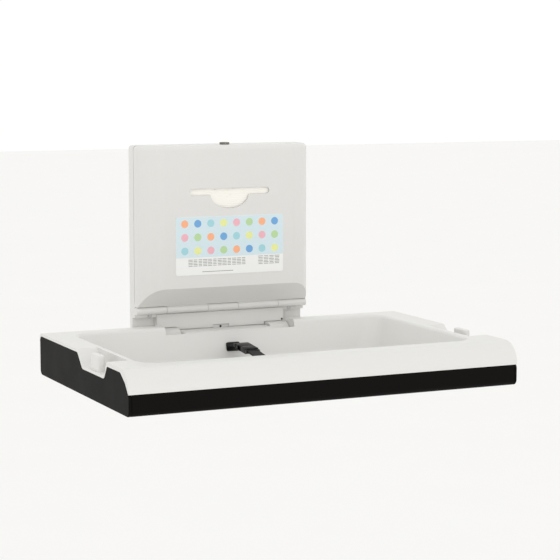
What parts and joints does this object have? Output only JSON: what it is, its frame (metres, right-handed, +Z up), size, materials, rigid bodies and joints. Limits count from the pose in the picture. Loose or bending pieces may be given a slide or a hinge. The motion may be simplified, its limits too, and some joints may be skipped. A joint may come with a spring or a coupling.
{
  "type": "wall-mounted changing table",
  "caption": "Wall-mounted changing table with a fold-down concave bed, bag hooks, a safety belt with a side-release buckle and a hinged liner dispenser with a lock.",
  "frame": {"origin": "centre of the wall fixing pattern, on the wall plane", "axes": "+Y into the wall, +X along the width of the bed, +Z up; the open bed reaches towards -Y"},
  "size_m": [0.86, 0.596, 0.4946],
  "materials": {
    "white_plastic": "satin moulded polyethylene",
    "black_plastic": "fine-textured black moulding",
    "galvanised_steel": "zinc plated",
    "pin_steel": "ground",
    "bronze": "sintered",
    "rubber": "matt",
    "chrome": "polished",
    "paper": "uncoated crepe",
    "label": "printed film",
    "webbing": "woven nylon",
    "buckle_plastic": "moulded acetal",
    "damper_plastic": "moulded"
  },
  "bodies": {
    "root": {"wall_plate": "white_plastic", "steel_backplate": "galvanised_steel", "backplate_screws": "pin_steel", "hinge_panel": "white_plastic", "catch_plate": "white_plastic", "hinge_housing_left": "white_plastic", "hinge_housing_right": "white_plastic", "hinge_bushes": "bronze", "rotary_dampers": "damper_plastic", "stop_pads": "rubber", "door_hinge_rod": "pin_steel", "lock_keeper": "galvanised_steel", "door_buffers": "rubber", "liner_shelf": "white_plastic", "liner_pack": "paper"},
    "door": {"door_cover": "white_plastic", "label_panel": "label", "lock_body": "chrome", "lock_nut": "galvanised_steel"},
    "lock_plug": {"lock_plug": "chrome", "lock_cam": "galvanised_steel", "cam_screw": "pin_steel"},
    "bed": {"bed_tray": "white_plastic", "bottom_shell": "black_plastic", "end_panel_left": "black_plastic", "end_panel_right": "black_plastic", "bag_hook_left": "white_plastic", "bag_hook_right": "white_plastic", "support_frame": "galvanised_steel", "hinge_arms": "galvanised_steel", "hinge_pins": "pin_steel", "hinge_cover": "white_plastic", "shell_screws": "pin_steel", "rear_anchor": "buckle_plastic"},
    "belt": {"buckle_socket": "buckle_plastic", "rear_strap": "webbing"},
    "tongue": {"buckle_tongue": "buckle_plastic", "front_strap": "webbing"},
    "prong_left": {"prong_left": "buckle_plastic"},
    "prong_right": {"prong_right": "buckle_plastic"}
  },
  "joints": [
    {"name": "bed_fold", "type": "hinge", "parent": "root", "child": "bed", "pos_m": [0, -0.048, -0.238], "axis": [-1, 0, 0], "range_deg": [0, 90]},
    {"name": "dispenser_door", "type": "hinge", "parent": "root", "child": "door", "pos_m": [0, -0.039, -0.177], "axis": [-1, 0, 0], "range_deg": [-75, 0]},
    {"name": "lock_turn", "type": "hinge", "parent": "door", "child": "lock_plug", "pos_m": [0, -0.055, 0.188], "axis": [0, 0, 1], "range_deg": [0, 90]},
    {"name": "belt_lay", "type": "hinge", "parent": "bed", "child": "belt", "pos_m": [0, -0.487, -0.28], "axis": [-1, 0, 0], "range_deg": [0, 5.56], "deforming": ["rear_strap"]},
    {"name": "buckle_release", "type": "slide", "parent": "belt", "child": "tongue", "axis": [0, -0.9963, -0.0864], "range_m": [0, 0.025]},
    {"name": "prong_squeeze_left", "type": "hinge", "parent": "tongue", "child": "prong_left", "pos_m": [-0.0105, -0.17716, -0.25314], "axis": [0, 0.0864, -0.9963], "range_deg": [0, 8], "stiffness_Nm_per_rad": 0.05},
    {"name": "prong_squeeze_right", "type": "hinge", "parent": "tongue", "child": "prong_right", "pos_m": [0.0105, -0.17716, -0.25314], "axis": [0, -0.0864, 0.9963], "range_deg": [0, 8], "stiffness_Nm_per_rad": 0.05}
  ],
  "couplings": [
    {"joint": "belt_lay", "follows": "bed_fold", "ratio": 0.0617},
    {"joint": "prong_squeeze_right", "follows": "prong_squeeze_left", "ratio": 1}
  ]
}
